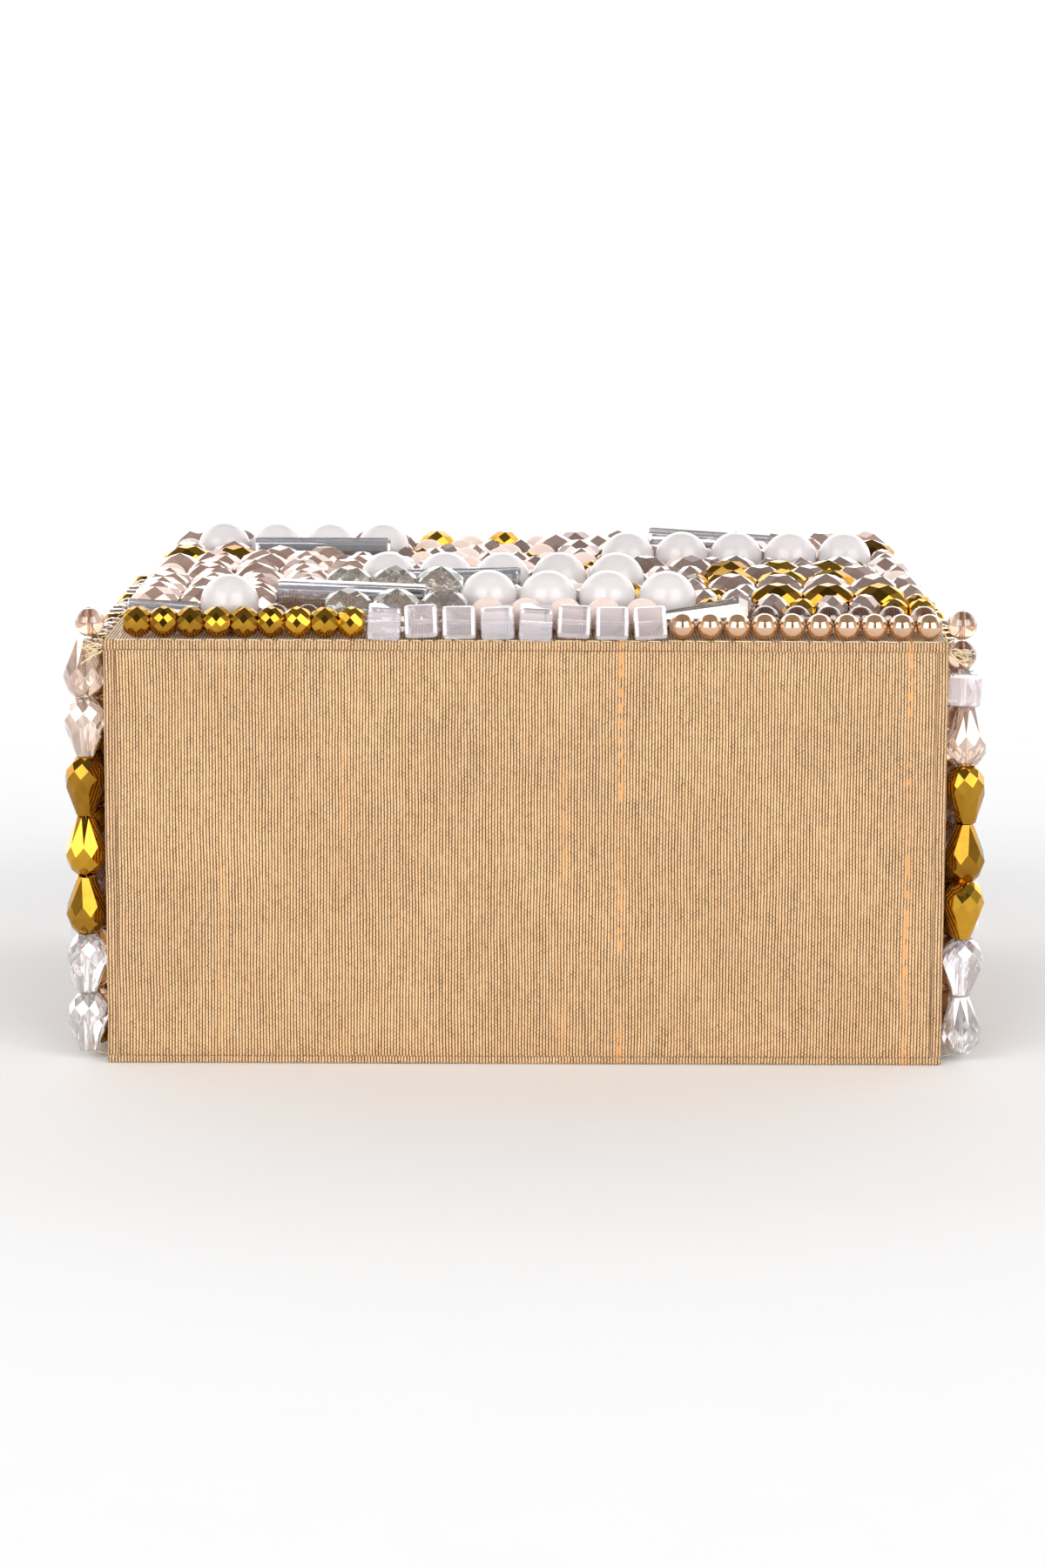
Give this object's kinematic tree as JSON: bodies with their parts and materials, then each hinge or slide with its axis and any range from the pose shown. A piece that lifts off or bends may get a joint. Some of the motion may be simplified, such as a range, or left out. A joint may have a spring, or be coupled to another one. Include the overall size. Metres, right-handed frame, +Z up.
{
  "type": "evening bag",
  "caption": "Hard box evening bag in ribbed silk, its lid, sides and top end embroidered with glass beads, with a cloth-hinged lid and magnetic catch.",
  "frame": {"origin": "centre of the back panel's outer face, on which the bag lies", "axes": "+X across the bag, +Y from its plain silk base to its top end, +Z up from the back to the beaded lid"},
  "size_m": [0.1758, 0.1446, 0.0911],
  "materials": {
    "clear_glass": "polished facets",
    "gold_glass": "metallic iris",
    "greyboard": "matt",
    "iridescent_glass": "polished, iridescent",
    "magnet": "bright nickel",
    "mauve_glass": "polished facets",
    "milky_glass": "polished",
    "peach_glass": "matt",
    "pearl_glass": "pearl lustre",
    "ribbon": "grosgrain ribbon",
    "rose_glass": "polished facets",
    "satin": "satin",
    "silk": "ribbed raw silk",
    "silver_lined_glass": "silver-lined",
    "smoky_glass": "polished facets",
    "taupe_glass": "polished"
  },
  "bodies": {
    "case": {"back_board": "greyboard", "back_lining": "satin", "back_silk": "silk", "base_board": "greyboard", "base_lining": "satin", "base_silk": "silk", "case_clear_drops": "clear_glass", "case_glass_pearls": "pearl_glass", "case_gold_drops": "gold_glass", "case_gold_rondelles": "gold_glass", "case_iridescent_cubes": "iridescent_glass", "case_magnets": "magnet", "case_mauve_crystals": "mauve_glass", "case_milky_rounds": "milky_glass", "case_peach_rounds": "peach_glass", "case_rose_drops": "rose_glass", "case_taupe_balls": "taupe_glass", "catch_rail": "greyboard", "hinge_cloth_case_leaf": "ribbon", "left_board": "greyboard", "left_lining": "satin", "left_silk": "silk", "right_board": "greyboard", "right_lining": "satin", "right_silk": "silk", "top_end_board": "greyboard", "top_end_lining": "satin", "top_end_silk": "silk"},
    "lid": {"hinge_cloth_lid_leaf": "ribbon", "lid_board": "greyboard", "lid_glass_pearls": "pearl_glass", "lid_gold_ovals": "gold_glass", "lid_gold_rondelles": "gold_glass", "lid_iridescent_cubes": "iridescent_glass", "lid_lining": "satin", "lid_magnets": "magnet", "lid_mauve_crystals": "mauve_glass", "lid_milky_rounds": "milky_glass", "lid_peach_rounds": "peach_glass", "lid_rose_crystals": "rose_glass", "lid_silk": "silk", "lid_silver_tubes": "silver_lined_glass", "lid_smoky_crystals": "smoky_glass", "lid_tapered_crystals": "clear_glass", "lid_taupe_balls": "taupe_glass", "pull_tab": "ribbon"}
  },
  "joints": [
    {"name": "lid_hinge", "type": "hinge", "parent": "case", "child": "lid", "pos_m": [0, -0.065, 0.0781], "axis": [1, 0, 0], "range_deg": [0, 105]}
  ]
}
